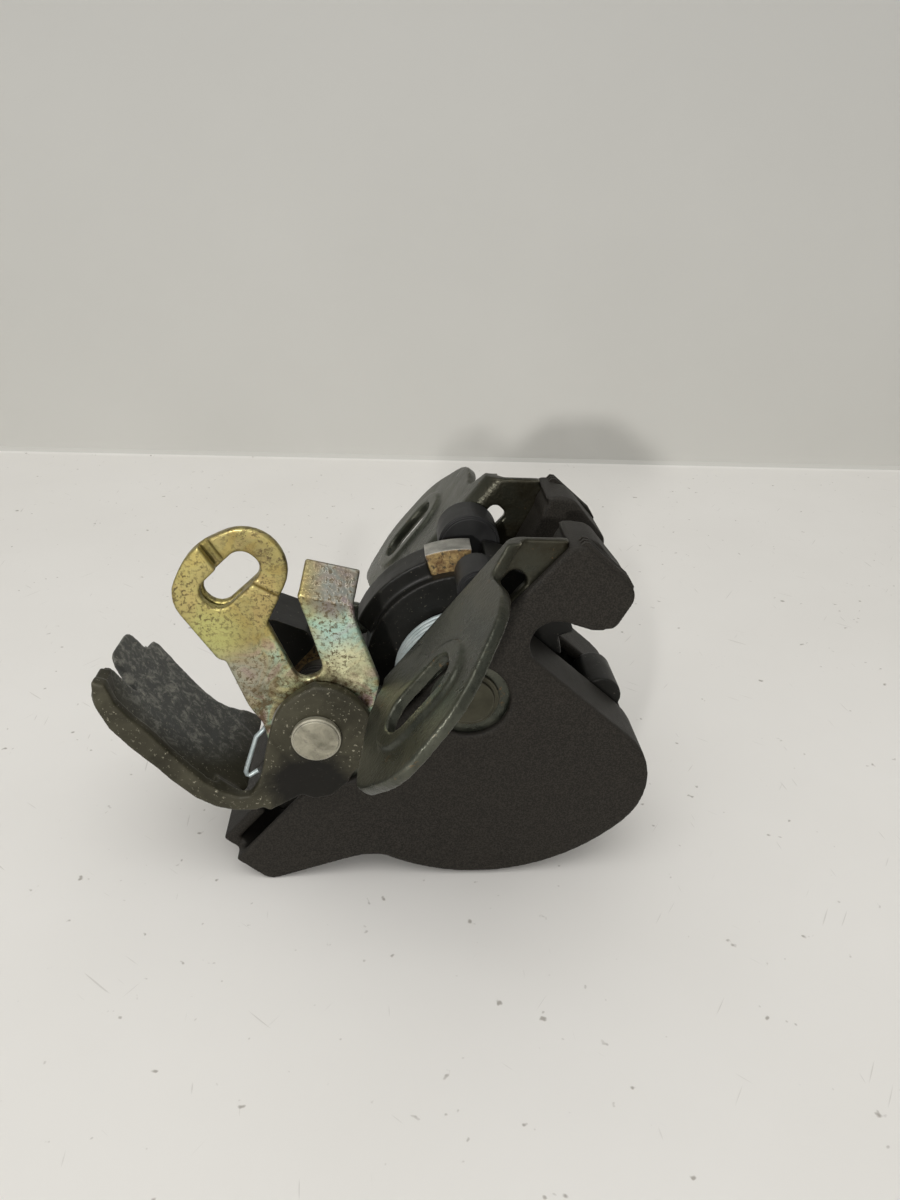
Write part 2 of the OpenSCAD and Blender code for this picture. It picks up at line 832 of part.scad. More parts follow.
// The pull seen from above, along the latch in x and across it in y
module pull_2d() {
    polygon(rounded([
        [-14.8 - 4, -lever_front + lever_bend_r + lever_t, 3],
        [-14.8 - 5, 2, 4],
        [-45, 8.5, 4],
        [-50.5, 9, 1.8],
        [-50.5, 4.4, 1.5],
        [-48.5, 3.9, 0.6],
        [-56.5, 3, 2.6],
        [-57, -9.2, 2.4],
        [-48.6, -9.8, 0.4],
        [-48.6, -11, 0.4],
        [-57, -11.8, 2.4],
        [-57, -lever_front, 3],
        [-26.5, -lever_front, 0],
        [-26.5, -lever_front + lever_bend_r + lever_t, 0]
    ]));
}

module release_lever() {
    color([0.25, 0.25, 0.21]) lie() difference() {
        union() {
            slab(lever_back, lever_front) release_plate_2d();
            translate([0, flange_y + lever_t + lever_bend_r, lever_back - lever_bend_r])
                rotate([90, 0, 90]) translate([0, 0, -26.5]) linear_extrude(26.5 - 18.8)
                intersection() {
                    difference() {
                        circle(r = lever_t + lever_bend_r);
                        circle(r = lever_bend_r);
                    }
                    translate([-10, 0]) square([10, 10]);
                }
            pull_plate();
        }
        disc(pawl_c, pawl_pin_r + run_gap, 0, 40);
    }
}

// The pull is a little dished along its length and turned up at the fingers
module pull_plate() {
    dish = [
        [-14, flange_y], [-30, flange_y - 0.9], [-44, flange_y + 0.4], [-50, flange_y + 1.6],
        [-60, flange_y + 6.6], [-60.9, flange_y + 4.5 + lever_t], [-50.6, flange_y + 1.6 + lever_t],
        [-44, flange_y + 0.4 + lever_t], [-30, flange_y - 0.9 + lever_t], [-14, flange_y + lever_t]
    ];
    intersection() {
        translate([0, 0, -20]) linear_extrude(60) polygon(dish);
        translate([0, flange_y - 20, 0]) rotate([-90, 0, 0]) linear_extrude(50) pull_2d();
    }
}

// Posts between the plates, which also hold the case halves together
lower_post_c = [6, -26];
heel_post_c = [24, -8];
post_r = 3.4;
post_end_r = 2.2;

module post(c) {
    disc(c, post_r, -plate_in, plate_in);
    disc(c, post_end_r, -plate_out, plate_out);
}

module lower_post() {
    color([0.45, 0.45, 0.42]) lie() post(lower_post_c);
}

module heel_post() {
    color([0.45, 0.45, 0.42]) lie() post(heel_post_c);
}

near_housing();
far_housing();
near_plate();
far_plate();
claw_pivot();
near_collar();
far_collar();
claw_core();
claw_cover();
claw_spring();
near_buffer();
far_buffer();
pawl_pivot();
pawl_near_spacer();
pawl_far_spacer();
pawl();
pawl_cover();
pawl_spring();
eye_lever();
release_spring();
lever_washer();
release_lever();
lower_post();
heel_post();
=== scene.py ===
import bpy
import bmesh
import math
from mathutils import Matrix, Vector


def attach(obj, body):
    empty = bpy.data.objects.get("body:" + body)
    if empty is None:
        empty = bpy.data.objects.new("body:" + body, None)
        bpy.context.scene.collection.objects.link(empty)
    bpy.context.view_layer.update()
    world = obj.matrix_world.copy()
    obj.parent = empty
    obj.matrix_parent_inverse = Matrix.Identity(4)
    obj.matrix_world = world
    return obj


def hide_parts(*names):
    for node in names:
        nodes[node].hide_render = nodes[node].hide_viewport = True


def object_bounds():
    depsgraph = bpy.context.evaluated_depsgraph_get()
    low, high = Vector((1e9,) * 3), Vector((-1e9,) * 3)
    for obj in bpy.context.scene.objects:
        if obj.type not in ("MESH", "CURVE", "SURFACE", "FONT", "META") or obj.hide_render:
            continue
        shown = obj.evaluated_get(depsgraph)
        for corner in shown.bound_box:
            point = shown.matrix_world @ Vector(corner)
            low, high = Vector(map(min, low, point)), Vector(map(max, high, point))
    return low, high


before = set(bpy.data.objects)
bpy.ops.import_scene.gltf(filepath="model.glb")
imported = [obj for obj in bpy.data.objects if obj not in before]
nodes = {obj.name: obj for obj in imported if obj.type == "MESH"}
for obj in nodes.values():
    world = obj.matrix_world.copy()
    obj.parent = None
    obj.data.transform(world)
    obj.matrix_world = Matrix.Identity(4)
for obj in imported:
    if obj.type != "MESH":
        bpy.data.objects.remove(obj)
cad_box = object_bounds()

# The viewer stands in front of the near face, a little to its left, and looks down at
# it by some 26 degrees through a short lens.
right = Vector((0.99756, -0.06282, 0.03050))
down = Vector((0.0, -0.43673, -0.89959))
ahead = Vector((0.06983, 0.89740, -0.43567))
stand = Vector((-0.03241, -0.17050, 0.08262))
lens = bpy.data.cameras.new("viewer")
lens.sensor_fit = "AUTO"
lens.sensor_width = 36.0
lens.lens = 27.0
lens.clip_start = 0.01
camera = bpy.data.objects.new("viewer", lens)
bpy.context.scene.collection.objects.link(camera)
camera.matrix_world = Matrix((
    (right.x, -down.x, -ahead.x, stand.x),
    (right.y, -down.y, -ahead.y, stand.y),
    (right.z, -down.z, -ahead.z, stand.z),
    (0, 0, 0, 1)))
bpy.context.scene.camera = camera

# The table and the wall behind it: off-white painted board, blotched, with a few dark
# specks and fine scratches. One sheet is bent up at the back with a small radius, so
# no gap shows between them.
table_z = cad_box[0][2] - 0.00002
wall_y = 0.2845
wall_turn = -0.036
sheet_half, sheet_front, sheet_top = 2.5, -2.2, 2.0
scratch_turns, scratch_runs, scratch_width = (0.7, 2.2, 1.5), (70.0, 55.0, 90.0), 1100.0
board_dull, board_clean = (0.790, 0.776, 0.748), (0.835, 0.822, 0.798)
speck_brown, scratch_grey = (0.17, 0.14, 0.11), (0.34, 0.32, 0.29)
wall_dull, wall_clean = (0.535, 0.530, 0.500), (0.585, 0.580, 0.550)
wall_painted_shade_above = (0.47, 0.47, 0.455)


def shader(name):
    material = bpy.data.materials.new(name)
    material.use_nodes = True
    tree = material.node_tree
    return material, tree, tree.nodes["Principled BSDF"]


def node(tree, kind, links=None, **values):
    made = tree.nodes.new(kind)
    for key, value in values.items():
        setattr(made, key, value)
    for socket, value in (links or {}).items():
        if isinstance(value, bpy.types.NodeSocket):
            tree.links.new(value, made.inputs[socket])
        else:
            made.inputs[socket].default_value = value
    return made


def spot(tree, kind="Object"):
    return node(tree, "ShaderNodeTexCoord").outputs[kind]


def along(tree, vector, axis):
    return node(tree, "ShaderNodeSeparateXYZ", {0: vector}).outputs[axis]


def grain(tree, scale, detail=3.0, rough=0.6, distortion=0.0):
    return node(tree, "ShaderNodeTexNoise", {"Vector": spot(tree), "Scale": scale,
                "Detail": detail, "Roughness": rough, "Distortion": distortion}).outputs["Fac"]


def span(tree, value, low, high, start=0.0, end=1.0):
    return node(tree, "ShaderNodeMapRange", {"Value": value, "From Min": low, "From Max": high,
                "To Min": start, "To Max": end}).outputs["Result"]


def times(tree, a, b):
    return node(tree, "ShaderNodeMath", {0: a, 1: b}, operation="MULTIPLY",
                use_clamp=True).outputs[0]


def paint(tree, share, under, over):
    coats = [coat if isinstance(coat, bpy.types.NodeSocket) else (*coat, 1.0)
             for coat in (under, over)]
    return node(tree, "ShaderNodeMix", {0: share, 6: coats[0], 7: coats[1]},
                data_type="RGBA").outputs[2]


board, tree, surface = shader("painted_board")
specks = span(tree, grain(tree, 340.0, 2.0, 0.5), 0.725, 0.78)
blotches = span(tree, grain(tree, 9.0, 4.0, 0.55), 0.3, 0.75)
tone = paint(tree, blotches, board_dull, board_clean)
tone = paint(tree, times(tree, specks, 0.6), tone, speck_brown)
for turn, run in zip(scratch_turns, scratch_runs):
    turned = node(tree, "ShaderNodeMapping", {"Vector": spot(tree), "Rotation": (0, 0, turn)})
    drawn = node(tree, "ShaderNodeMapping", {"Vector": turned.outputs[0],
                 "Scale": (run, scratch_width, 1.0)})
    lines = node(tree, "ShaderNodeTexNoise", {"Vector": drawn.outputs[0], "Scale": 1.0,
                 "Detail": 1.0}).outputs["Fac"]
    tone = paint(tree, times(tree, span(tree, lines, 0.76, 0.80), 0.3), tone, scratch_grey)
tree.links.new(tone, surface.inputs["Base Color"])
surface.inputs["Roughness"].default_value = 0.5
surface.inputs["Specular IOR Level"].default_value = 0.35
wall_paint, tree, surface = shader("painted_wall")
blotches = span(tree, grain(tree, 5.0, 4.0, 0.5), 0.3, 0.7)
tone = paint(tree, blotches, wall_dull, wall_clean)
# Painted shade: the wall is painted darker towards the top.
tone = paint(tree, span(tree, along(tree, spot(tree), "Z"), -0.05, 0.22), tone, wall_painted_shade_above)
tree.links.new(tone, surface.inputs["Base Color"])
surface.inputs["Roughness"].default_value = 0.8
sheet = bmesh.new()
profile = [(sheet_front, 0.0), (wall_y - 0.004, 0.0), (wall_y - 0.0018, 0.0004),
           (wall_y, 0.0022), (wall_y + 0.0002, 0.006), (wall_y + 0.0002, sheet_top)]
rows = [[sheet.verts.new((x, y + (wall_turn * x if y > 0 else 0), table_z + z))
         for y, z in profile] for x in (-sheet_half, sheet_half)]
for k in range(len(profile) - 1):
    face = sheet.faces.new((rows[0][k], rows[1][k], rows[1][k + 1], rows[0][k + 1]))
    face.material_index = 0 if k < 2 else 1
mesh = bpy.data.meshes.new("table_and_wall")
sheet.to_mesh(mesh)
sheet.free()
mesh.materials.append(board)
mesh.materials.append(wall_paint)
table = bpy.data.objects.new("table_and_wall", mesh)
bpy.context.scene.collection.objects.link(table)

# The light: a soft room, brighter above than below, a broad lamp overhead, and a small
# lamp low in front on the left, which throws the latch's shadow on the wall.
room_below, room_above, room_strength = (0.11, 0.108, 0.10), (0.92, 0.91, 0.885), 0.76
world = bpy.data.worlds.new("room")
bpy.context.scene.world = world
world.use_nodes = True
tree = world.node_tree
height = along(tree, spot(tree, "Generated"), "Z")
glow = paint(tree, span(tree, height, -0.05, 0.65), room_below, room_above)
tree.links.new(glow, tree.nodes["Background"].inputs["Color"])
tree.nodes["Background"].inputs["Strength"].default_value = room_strength


def lamp(name, where, towards, size, power, colour):
    light = bpy.data.lights.new(name, "AREA")
    light.shape = "RECTANGLE"
    light.size, light.size_y = size
    light.energy = power
    light.color = colour
    held = bpy.data.objects.new(name, light)
    bpy.context.scene.collection.objects.link(held)
    aim = (Vector(towards) - Vector(where)).to_track_quat("-Z", "Y")
    held.matrix_world = Matrix.Translation(where) @ aim.to_matrix().to_4x4()


lamp("overhead", where=(-0.15, -0.50, 1.05), towards=(0, 0.05, 0), size=(1.1, 0.7),
     power=4.6, colour=(1.0, 0.985, 0.96))
lamp("front_left", where=(-0.28, -0.92, 0.215), towards=(0, 0, -0.02), size=(0.05, 0.04),
     power=4.4, colour=(1.0, 0.98, 0.95))
bpy.context.scene.view_settings.view_transform = "Standard"

# The case: two halves moulded in glass-filled nylon, matt and finely grained, with
# edges rounded by the mould, held by the posts inside. Each jaw has a fuller lip at
# the mouth and three thin fins on top.
nylon_dark, nylon_light = (0.0062, 0.0052, 0.0037), (0.0105, 0.0090, 0.0066)
nylon_glint, nylon_painted_top_light = (0.026, 0.0225, 0.018), (0.030, 0.028, 0.025)
nylon_chalk = (0.11, 0.102, 0.09)
lip = [(2.6, 26.6), (3.2, 25.1), (7.0, 26.7), (8.8, 28.1), (8.6, 30.5), (4.0, 30.0)]
near_lip, far_lip = (lip, 18.9, 20.5), (lip, -20.5, -18.9)
fin = [(-7.2, 36.0), (-7.2, 38.5), (-6.4, 39.0), (4.6, 39.0), (6.4, 38.4), (7.0, 37.6),
       (6.6, 36.0)]
fin_places, fin_thick = (16.9, 18.2, 19.5, -17.4, -18.7, -20.0), 0.5

# The latch lies on its foot and on the round edge of its case, as it was put down.
# Places on its pieces are measured in millimetres in plan: along the mouth, across
# the mouth, and out towards the viewer.
lie = math.radians(40.8478)
turned_about = (4.0, 20.0)


def place(u, v, w=0.0):
    u, v = u - turned_about[0], v - turned_about[1]
    return Vector((u * math.cos(lie) + v * math.sin(lie), -w,
                   -u * math.sin(lie) + v * math.cos(lie))) / 1000


# Each block is an outline in plan, drawn out between two depths. A block with a fourth
# entry is an outline along the mouth and in depth, drawn out across the mouth.
def prism(name, blocks):
    shape = bmesh.new()
    for outline, low, high, *across in blocks:
        rings = [[shape.verts.new(place(a, end, b) if across else place(a, b, end))
                  for a, b in outline] for end in (low, high)]
        shape.faces.new(rings[0])
        shape.faces.new(rings[1][::-1])
        for k in range(len(outline)):
            shape.faces.new((rings[0][k], rings[1][k], rings[1][k - 1], rings[0][k - 1]))
    bmesh.ops.recalc_face_normals(shape, faces=shape.faces)
    made = bpy.data.meshes.new(name)
    shape.to_mesh(made)
    shape.free()
    solid = bpy.data.objects.new(name, made)
    bpy.context.scene.collection.objects.link(solid)
    return solid


# A piece with rounded edges: blocks are added and cut away, then its skin is laid anew
# on a grid in millimetres, rubbed down a number of rounds and thinned.
def softened(name, material, body, grid, rounds, more=(), less=()):
    piece = nodes[name].copy()
    piece.data = nodes[name].data.copy()
    piece.name = name + "_finish"
    bpy.context.scene.collection.objects.link(piece)
    piece.parent = None
    piece.matrix_world = Matrix.Identity(4)
    tools = []
    for blocks, how in ((more, "UNION"), (less, "DIFFERENCE")):
        for block in blocks:
            tools.append(prism(name + "_tool", [block]))
            change = piece.modifiers.new("change", "BOOLEAN")
            change.solver = "EXACT"
            change.operation = how
            change.object = tools[-1]
    fill = piece.modifiers.new("fill", "REMESH")
    fill.mode = "VOXEL"
    fill.voxel_size = grid / 1000
    fill.use_smooth_shade = True
    rub = piece.modifiers.new("rub", "SMOOTH")
    rub.factor = 0.5
    rub.iterations = rounds
    thin = piece.modifiers.new("thin", "DECIMATE")
    thin.ratio = 0.4
    seen = piece.evaluated_get(bpy.context.evaluated_depsgraph_get())
    made = bpy.data.meshes.new_from_object(seen)
    piece.modifiers.clear()
    for tool in tools:
        bpy.data.objects.remove(tool)
    piece.data = made
    made.materials.clear()
    made.materials.append(material)
    for face in made.polygons:
        face.use_smooth = True
        face.material_index = 0
    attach(piece, body)
    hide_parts(name)
    return piece


def worn_edge(tree, radius):
    soft = node(tree, "ShaderNodeBevel", {"Radius": radius / 1000}, samples=6)
    flat = node(tree, "ShaderNodeNewGeometry")
    dot = node(tree, "ShaderNodeVectorMath", {0: soft.outputs[0], 1: flat.outputs["Normal"]},
               operation="DOT_PRODUCT").outputs["Value"]
    turned = node(tree, "ShaderNodeMath", {0: 1.0, 1: dot}, operation="SUBTRACT").outputs[0]
    return span(tree, turned, 0.02, 0.22)


def bump(tree, surface, height, strength, distance):
    made = node(tree, "ShaderNodeBump", {"Height": height, "Strength": strength,
                "Distance": distance})
    tree.links.new(made.outputs["Normal"], surface.inputs["Normal"])


nylon, tree, surface = shader("case_nylon")
fine = grain(tree, 3400.0, 2.0, 0.6)
cloud = grain(tree, 42.0, 5.0, 0.6, 0.4)
tone = paint(tree, span(tree, cloud, 0.3, 0.72), nylon_dark, nylon_light)
tone = paint(tree, span(tree, fine, 0.40, 0.66), tone, nylon_glint)
# Painted light: faces turned upward are painted lighter, as if lit from above.
upward = along(tree, spot(tree, "Normal"), "Z")
tone = paint(tree, times(tree, span(tree, upward, 0.25, 0.85), 0.6), tone, nylon_painted_top_light)
chalk = times(tree, worn_edge(tree, 0.35), span(tree, grain(tree, 420.0, 4.0, 0.7), 0.42, 0.62))
tone = paint(tree, times(tree, chalk, 0.5), tone, nylon_chalk)
tree.links.new(tone, surface.inputs["Base Color"])
tree.links.new(span(tree, cloud, 0.3, 0.7, 0.50, 0.66), surface.inputs["Roughness"])
surface.inputs["Specular IOR Level"].default_value = 0.19
bump(tree, surface, fine, 0.5, 0.00014)
for half, half_lip in (("near_housing", near_lip), ("far_housing", far_lip)):
    piece = softened(half, nylon, "case", grid=0.36, rounds=9, more=[half_lip])
fins = prism("jaw_fins", [(fin, w, w + fin_thick) for w in fin_places])
fins.data.materials.append(nylon)
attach(fins, "case")

# The side plates: 2.3 mm steel pressings with the ears bent out, in a dark oxide
# finish that is rubbed bright along the edges and goes bronze on the straps.
oxide_dark, oxide_light = (0.034, 0.038, 0.029), (0.092, 0.094, 0.072)
strap_bronze, oxide_fleck = (0.022, 0.019, 0.010), (0.035, 0.035, 0.028)
plate_bright, plate_rust = (0.46, 0.43, 0.32), (0.20, 0.115, 0.045)
strap_middle = place(-6, 30)
oxide, tree, surface = shader("plate_oxide")
cloud = grain(tree, 75.0, 6.0, 0.62, 0.6)
fine = grain(tree, 1500.0, 3.0, 0.6)
tone = paint(tree, span(tree, cloud, 0.34, 0.66), oxide_dark, oxide_light)
away = node(tree, "ShaderNodeVectorMath", {0: spot(tree),
            1: (strap_middle.x, 0.0, strap_middle.z)}, operation="SUBTRACT").outputs["Vector"]
away = node(tree, "ShaderNodeVectorMath", {0: away, 1: (1.0, 0.0, 1.0)},
            operation="MULTIPLY").outputs["Vector"]
away = node(tree, "ShaderNodeVectorMath", {0: away}, operation="LENGTH").outputs["Value"]
bronze = span(tree, away, 0.016, 0.010)
tone = paint(tree, times(tree, bronze, span(tree, cloud, 0.25, 0.6)), tone, strap_bronze)
tone = paint(tree, times(tree, span(tree, fine, 0.56, 0.70), 0.55), tone, oxide_fleck)
rubbed = times(tree, worn_edge(tree, 0.7), span(tree, grain(tree, 260.0, 4.0, 0.7), 0.36, 0.55))
tone = paint(tree, rubbed, tone, plate_bright)
rust = span(tree, grain(tree, 330.0, 5.0, 0.75), 0.63, 0.70)
tone = paint(tree, times(tree, rust, 0.7), tone, plate_rust)
tree.links.new(tone, surface.inputs["Base Color"])
surface.inputs["Metallic"].default_value = 0.7
tree.links.new(span(tree, cloud, 0.3, 0.7, 0.22, 0.40), surface.inputs["Roughness"])
waves = grain(tree, 150.0, 3.0, 0.5)
bump(tree, surface, times(tree, waves, span(tree, fine, 0.3, 0.7, 0.75, 1.0)), 0.5, 0.0006)
for side in ("near_plate", "far_plate"):
    piece = softened(side, oxide, "case", grid=0.33, rounds=12)

# The claw pivot: a turned steel pin with stepped ends riveted over outside both
# plates, between two black acetal collars that keep the claw in the middle.
pin_dark, pin_light, pin_bright = (0.026, 0.025, 0.015), (0.060, 0.057, 0.038), (0.40, 0.38, 0.31)
acetal_dark, acetal_light = (0.012, 0.012, 0.012), (0.022, 0.021, 0.020)


# A piece with crisp edges, broken by a narrow bevel that is given in millimetres.
def bevelled(name, material, body, bevel=0.0):
    crease = math.radians(30)
    shape = bmesh.new()
    shape.from_mesh(nodes[name].data)
    bmesh.ops.remove_doubles(shape, verts=shape.verts, dist=2e-6)
    bmesh.ops.dissolve_limit(shape, angle_limit=math.radians(0.6), verts=shape.verts,
                             edges=shape.edges, delimit={"NORMAL"})
    for edge in shape.edges:
        if len(edge.link_faces) == 2:
            edge.smooth = edge.calc_face_angle(0) < crease
    for face in shape.faces:
        face.smooth = True
    made = bpy.data.meshes.new(name + "_finish")
    shape.to_mesh(made)
    shape.free()
    made.materials.append(material)
    piece = bpy.data.objects.new(name + "_finish", made)
    bpy.context.scene.collection.objects.link(piece)
    if bevel:
        edge = piece.modifiers.new("edge", "BEVEL")
        edge.width = bevel / 1000
        edge.segments = 3
        edge.limit_method = "ANGLE"
        edge.angle_limit = crease
        edge.loop_slide = False
        even = piece.modifiers.new("even", "WEIGHTED_NORMAL")
        even.keep_sharp = True
    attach(piece, body)
    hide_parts(name)
    return piece


turned_steel, tree, surface = shader("turned_steel")
cloud = grain(tree, 160.0, 5.0, 0.6)
tone = paint(tree, span(tree, cloud, 0.35, 0.65), pin_dark, pin_light)
tone = paint(tree, times(tree, worn_edge(tree, 0.4), 0.8), tone, pin_bright)
tree.links.new(tone, surface.inputs["Base Color"])
surface.inputs["Metallic"].default_value = 0.7
surface.inputs["Roughness"].default_value = 0.36
bump(tree, surface, grain(tree, 900.0, 3.0, 0.6), 0.2, 0.0001)
piece = bevelled("claw_pivot", turned_steel, "case", bevel=0.2)
acetal, tree, surface = shader("black_acetal")
tone = paint(tree, grain(tree, 300.0), acetal_dark, acetal_light)
tree.links.new(tone, surface.inputs["Base Color"])
surface.inputs["Roughness"].default_value = 0.42
for side in ("near_collar", "far_collar"):
    piece = bevelled(side, acetal, "case")

# The claw: blanked steel, bare on the tooth, where the outer face is worn bright and
# the flanks are brown with rust.
rust_brown, rust_gold, rust_pit = (0.090, 0.038, 0.012), (0.40, 0.29, 0.12), (0.045, 0.035, 0.022)
tooth_dull, tooth_light, tooth_edge = (0.20, 0.20, 0.18), (0.46, 0.45, 0.41), (0.86, 0.84, 0.79)
bare_steel, tree, surface = shader("claw_steel")
facing = along(tree, spot(tree, "Normal"), "Y")
flank = span(tree, node(tree, "ShaderNodeMath", {0: facing}, operation="ABSOLUTE").outputs[0],
             0.6, 0.9)
pits = grain(tree, 620.0, 5.0, 0.7, 0.8)
rusty = paint(tree, span(tree, pits, 0.36, 0.64), rust_brown, rust_gold)
rusty = paint(tree, span(tree, grain(tree, 1100.0, 3.0, 0.6), 0.55, 0.66), rusty, rust_pit)
bright = paint(tree, span(tree, grain(tree, 210.0, 4.0, 0.6), 0.35, 0.65), tooth_dull, tooth_light)
tone = paint(tree, flank, bright, rusty)
tone = paint(tree, worn_edge(tree, 0.45), tone, tooth_edge)
tree.links.new(tone, surface.inputs["Base Color"])
tree.links.new(span(tree, flank, 0.0, 1.0, 0.85, 0.25), surface.inputs["Metallic"])
tree.links.new(span(tree, flank, 0.0, 1.0, 0.32, 0.62), surface.inputs["Roughness"])
bump(tree, surface, pits, 0.5, 0.00025)
piece = bevelled("claw_core", bare_steel, "claw", bevel=0.25)

# Its cover: black plastic moulded over the steel, satin, with scuffed edges and specks
# of dust.
cover_dark, cover_light = (0.0045, 0.0045, 0.0038), (0.010, 0.0097, 0.008)
cover_scuff, cover_dust = (0.17, 0.13, 0.08), (0.20, 0.18, 0.14)
cover, tree, surface = shader("claw_cover_plastic")
cloud = grain(tree, 120.0, 5.0, 0.6, 0.3)
tone = paint(tree, span(tree, cloud, 0.35, 0.7), cover_dark, cover_light)
scuff = times(tree, worn_edge(tree, 0.5), span(tree, grain(tree, 340.0, 4.0, 0.7), 0.45, 0.6))
tone = paint(tree, times(tree, scuff, 0.75), tone, cover_scuff)
dust = span(tree, grain(tree, 1900.0, 2.0, 0.6), 0.68, 0.76)
tone = paint(tree, times(tree, dust, 0.6), tone, cover_dust)
tree.links.new(tone, surface.inputs["Base Color"])
tree.links.new(span(tree, cloud, 0.3, 0.7, 0.34, 0.55), surface.inputs["Roughness"])
surface.inputs["Specular IOR Level"].default_value = 0.26
bump(tree, surface, grain(tree, 1400.0, 3.0, 0.6), 0.25, 0.0001)
piece = softened("claw_cover", cover, "claw", grid=0.3, rounds=6)

# The claw spring: 1.4 mm zinc plated wire wound in a close coil, with one leg hooked
# on the claw and the other laid on the post at the heel. The wire is dark with grime
# where it nears the pawl pivot.
wire_grey, wire_pale = (0.42, 0.49, 0.50), (0.60, 0.66, 0.66)
wire_fleck, wire_grime = (0.18, 0.17, 0.15), (0.02, 0.018, 0.015)
claw_wire, coil_middle = 1.4, (-0.8, -0.6)
coil_radius, coil_depth, coil_pitch = 13.1, 7.3, 1.45
leg_length, leg_fall = 20, math.radians(34.2)
pawl_middle = (-19.0, -23.8)


def wire_tree():
    made = bpy.data.node_groups.new("wire_along_path", "GeometryNodeTree")
    face = made.interface
    face.new_socket("Geometry", in_out="INPUT", socket_type="NodeSocketGeometry")
    for title, kind, value in (("Wire radius", "NodeSocketFloat", 0.0007),
                               ("Sides", "NodeSocketInt", 14),
                               ("Finish", "NodeSocketMaterial", None)):
        socket = face.new_socket(title, in_out="INPUT", socket_type=kind)
        if value is not None:
            socket.default_value = value
    face.new_socket("Geometry", in_out="OUTPUT", socket_type="NodeSocketGeometry")
    begin, path, ring, sweep, smooth, single, finish, end = [made.nodes.new(kind) for kind in (
        "NodeGroupInput", "GeometryNodeMeshToCurve", "GeometryNodeCurvePrimitiveCircle",
        "GeometryNodeCurveToMesh", "GeometryNodeSetShadeSmooth", "GeometryNodeRealizeInstances",
        "GeometryNodeSetMaterial", "NodeGroupOutput")]
    sweep.inputs["Fill Caps"].default_value = True
    for giver, given, taker, taken in (
            (begin, "Geometry", path, "Mesh"), (begin, "Wire radius", ring, "Radius"),
            (begin, "Sides", ring, "Resolution"), (path, "Curve", sweep, "Curve"),
            (ring, "Curve", sweep, "Profile Curve"), (sweep, "Mesh", smooth, "Geometry"),
            (smooth, "Geometry", single, "Geometry"), (single, "Geometry", finish, "Geometry"),
            (begin, "Finish", finish, "Material"), (finish, "Geometry", end, "Geometry")):
        made.links.new(giver.outputs[given], taker.inputs[taken])
    return made


spring_tree = wire_tree()


def wound(name, points, thick, finish, sides):
    path = bpy.data.meshes.new(name + "_path")
    path.from_pydata([place(*p) for p in points], [(k, k + 1) for k in range(len(points) - 1)], [])
    holder = bpy.data.objects.new(name + "_path", path)
    bpy.context.scene.collection.objects.link(holder)
    sweep = holder.modifiers.new("wire", "NODES")
    sweep.node_group = spring_tree
    values = {"Wire radius": thick / 2000, "Sides": sides, "Finish": finish}
    for item in spring_tree.interface.items_tree:
        if item.in_out == "INPUT" and item.name in values:
            sweep[item.identifier] = values[item.name]
    seen = holder.evaluated_get(bpy.context.evaluated_depsgraph_get())
    mesh = bpy.data.meshes.new_from_object(seen)
    piece = bpy.data.objects.new(name + "_wire", mesh)
    bpy.context.scene.collection.objects.link(piece)
    bpy.data.objects.remove(holder)
    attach(piece, "case")
    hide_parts(name)


def coil(centre, radius, start, pitch, turns, angle, way=1, side=1):
    per_turn = 40
    return [(centre[0] + radius * math.cos(angle + way * math.tau * k / per_turn),
             centre[1] + radius * math.sin(angle + way * math.tau * k / per_turn),
             side * (start + pitch * k / per_turn)) for k in range(round(turns * per_turn) + 1)]


# The share of a patch round a place: full up to the inner distance, none past the outer
# one, both in millimetres, with an edge that may be ragged.
def patch(tree, centre, inner, outer, ragged=None):
    away = node(tree, "ShaderNodeVectorMath", {0: spot(tree), 1: place(*centre)},
                operation="DISTANCE").outputs["Value"]
    if ragged is not None:
        away = node(tree, "ShaderNodeMath", {0: away, 1: ragged}, operation="ADD").outputs[0]
    return span(tree, away, outer / 1000, inner / 1000)


plated_wire, tree, surface = shader("plated_wire")
cloud = grain(tree, 240.0, 4.0, 0.6)
tone = paint(tree, span(tree, cloud, 0.35, 0.68), wire_grey, wire_pale)
flecks = span(tree, grain(tree, 900.0, 3.0, 0.6), 0.62, 0.7)
tone = paint(tree, times(tree, flecks, 0.6), tone, wire_fleck)
tone = paint(tree, patch(tree, (*pawl_middle, 12), 11.6, 13.4), tone, wire_grime)
tree.links.new(tone, surface.inputs["Base Color"])
surface.inputs["Metallic"].default_value = 0.5
surface.inputs["Roughness"].default_value = 0.42
turns = coil(coil_middle, coil_radius, coil_depth, coil_pitch, turns=4.75,
             angle=math.radians(320))
first_leg = (coil_middle[0] + 12.2, coil_middle[1] - 15.0, coil_depth)
last = turns[-1]
last_leg = (last[0] + leg_length * math.cos(leg_fall), last[1] - leg_length * math.sin(leg_fall),
           last[2])
wound("claw_spring", [first_leg] + turns + [last_leg], claw_wire, plated_wire, sides=14)

# The buffers: black rubber blocks that stop the tooth, each held by a key in the
# window of its plate.
rubber_dark, rubber_light = (0.0055, 0.0056, 0.0058), (0.014, 0.0142, 0.0145)
rubber, tree, surface = shader("black_rubber")
cloud = grain(tree, 140.0, 4.0, 0.6)
tone = paint(tree, span(tree, cloud, 0.35, 0.7), rubber_dark, rubber_light)
tree.links.new(tone, surface.inputs["Base Color"])
tree.links.new(span(tree, cloud, 0.3, 0.7, 0.42, 0.6), surface.inputs["Roughness"])
surface.inputs["Specular IOR Level"].default_value = 0.34
bump(tree, surface, grain(tree, 1200.0, 3.0, 0.6), 0.2, 0.0001)
for side in ("near_buffer", "far_buffer"):
    piece = bevelled(side, rubber, "case", bevel=0.6)

